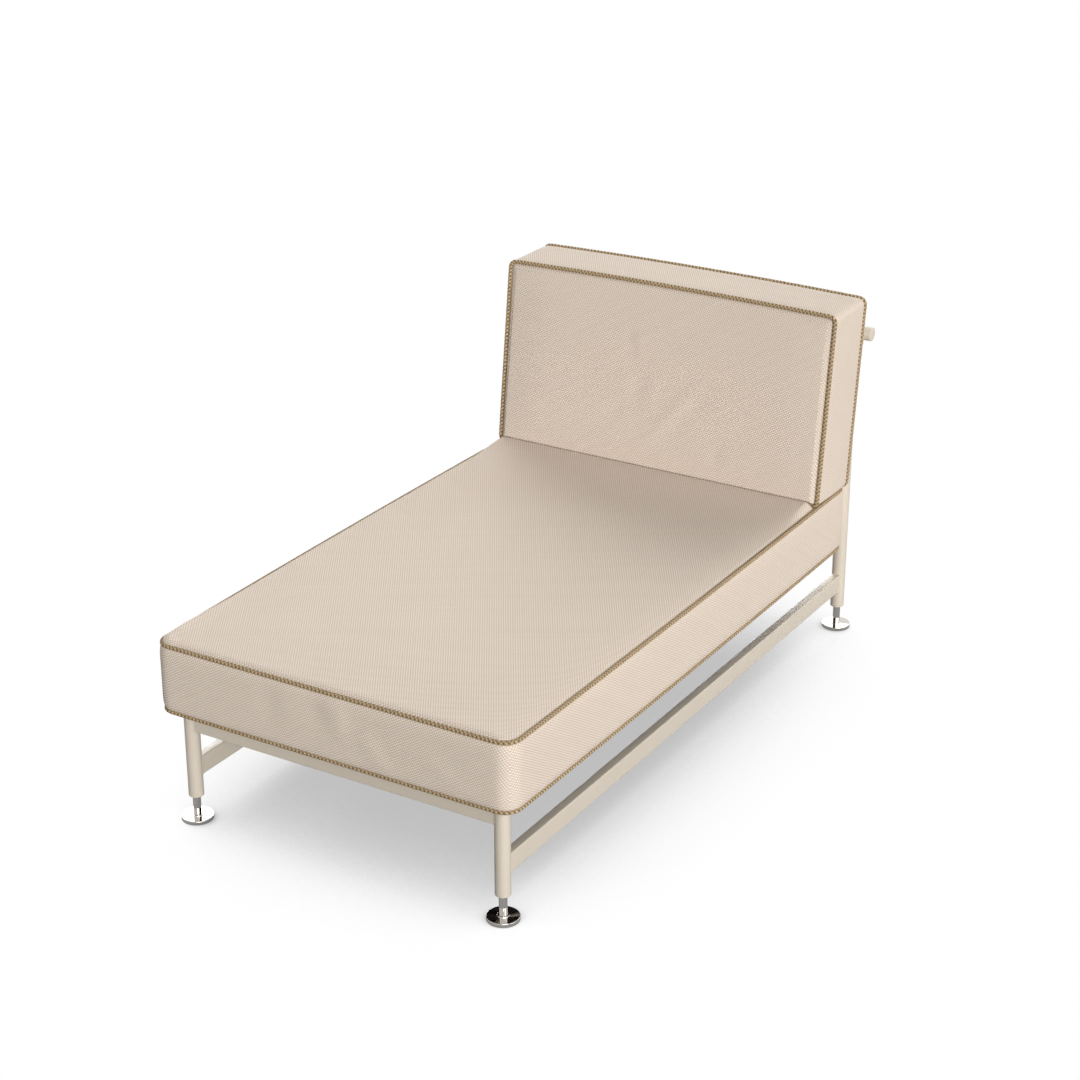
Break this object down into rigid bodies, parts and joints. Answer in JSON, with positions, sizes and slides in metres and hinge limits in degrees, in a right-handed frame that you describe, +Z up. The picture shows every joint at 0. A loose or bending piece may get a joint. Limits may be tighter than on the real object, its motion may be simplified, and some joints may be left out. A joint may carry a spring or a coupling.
{
  "type": "modular chaise longue",
  "caption": "Single-end chaise longue with a corded mattress and a leaning back cushion on a round-tube steel frame with rectangular stretchers and swivel levelling feet.",
  "frame": {"origin": "middle of the object's footprint, on the floor that the feet stand on", "axes": "+Z up, +Y along the mattress towards the head end with the back cushion, +X to the right of someone facing the head end"},
  "size_m": [0.804, 1.5294, 0.8081],
  "materials": {
    "frame_paint": "satin powder coat, warm off-white",
    "cap_plastic": "satin, matched to the frame",
    "chrome": "polished",
    "insert_metal": "zinc plated",
    "glide": "matt",
    "plywood": "dark stained plywood",
    "weave": "hopsack weave, matt",
    "cording": "twisted cord in brown and tan",
    "foam": "open foam",
    "zip_tape": "woven tape"
  },
  "bodies": {
    "frame": {"front_leg_left": "frame_paint", "front_leg_right": "frame_paint", "rear_post_left": "frame_paint", "rear_post_right": "frame_paint", "side_rail_left": "frame_paint", "side_rail_right": "frame_paint", "front_cross_rail": "frame_paint", "rear_cross_rail": "frame_paint", "deck_bearer_left": "frame_paint", "deck_bearer_right": "frame_paint", "back_bar_front": "frame_paint", "back_bar_rear": "frame_paint", "back_bar_cap_front_left": "cap_plastic", "back_bar_cap_front_right": "cap_plastic", "back_bar_cap_rear_left": "cap_plastic", "back_bar_cap_rear_right": "cap_plastic", "leg_cap_left": "cap_plastic", "leg_cap_right": "cap_plastic", "post_cap_left": "cap_plastic", "post_cap_right": "cap_plastic", "deck_slat_1": "plywood", "deck_slat_2": "plywood", "deck_slat_3": "plywood", "deck_slat_4": "plywood", "deck_slat_5": "plywood", "deck_slat_6": "plywood", "deck_slat_7": "plywood", "deck_slat_8": "plywood", "foot_insert_front_left": "insert_metal", "foot_insert_front_right": "insert_metal", "foot_insert_rear_left": "insert_metal", "foot_insert_rear_right": "insert_metal", "seat_cover": "weave", "seat_foam": "foam", "seat_zip": "zip_tape", "seat_piping_top": "cording", "seat_piping_bottom": "cording", "back_cover": "weave", "back_foam": "foam", "back_zip": "zip_tape", "back_piping_front": "cording", "back_piping_rear": "cording"},
    "stem_front_left": {"foot_stem_front_left": "chrome"},
    "stem_front_right": {"foot_stem_front_right": "chrome"},
    "stem_rear_left": {"foot_stem_rear_left": "chrome"},
    "stem_rear_right": {"foot_stem_rear_right": "chrome"},
    "disc_front_left": {"foot_disc_front_left": "chrome", "foot_pad_front_left": "glide"},
    "disc_front_right": {"foot_disc_front_right": "chrome", "foot_pad_front_right": "glide"},
    "disc_rear_left": {"foot_disc_rear_left": "chrome", "foot_pad_rear_left": "glide"},
    "disc_rear_right": {"foot_disc_rear_right": "chrome", "foot_pad_rear_right": "glide"}
  },
  "joints": [
    {"name": "foot_front_left_height", "type": "slide", "parent": "frame", "child": "stem_front_left", "axis": [0, 0, 1], "range_m": [-0.015, 0.02]},
    {"name": "foot_front_right_height", "type": "slide", "parent": "frame", "child": "stem_front_right", "axis": [0, 0, 1], "range_m": [-0.015, 0.02]},
    {"name": "foot_rear_left_height", "type": "slide", "parent": "frame", "child": "stem_rear_left", "axis": [0, 0, 1], "range_m": [-0.015, 0.02]},
    {"name": "foot_rear_right_height", "type": "slide", "parent": "frame", "child": "stem_rear_right", "axis": [0, 0, 1], "range_m": [-0.015, 0.02]},
    {"name": "foot_front_left_turn", "type": "hinge", "parent": "stem_front_left", "child": "disc_front_left", "pos_m": [-0.35, -0.7176, 0.005], "axis": [0, 0, 1], "continuous": true},
    {"name": "foot_front_right_turn", "type": "hinge", "parent": "stem_front_right", "child": "disc_front_right", "pos_m": [0.35, -0.7176, 0.005], "axis": [0, 0, 1], "continuous": true},
    {"name": "foot_rear_left_turn", "type": "hinge", "parent": "stem_rear_left", "child": "disc_rear_left", "pos_m": [-0.35, 0.7194, 0.005], "axis": [0, 0, 1], "continuous": true},
    {"name": "foot_rear_right_turn", "type": "hinge", "parent": "stem_rear_right", "child": "disc_rear_right", "pos_m": [0.35, 0.7194, 0.005], "axis": [0, 0, 1], "continuous": true}
  ]
}
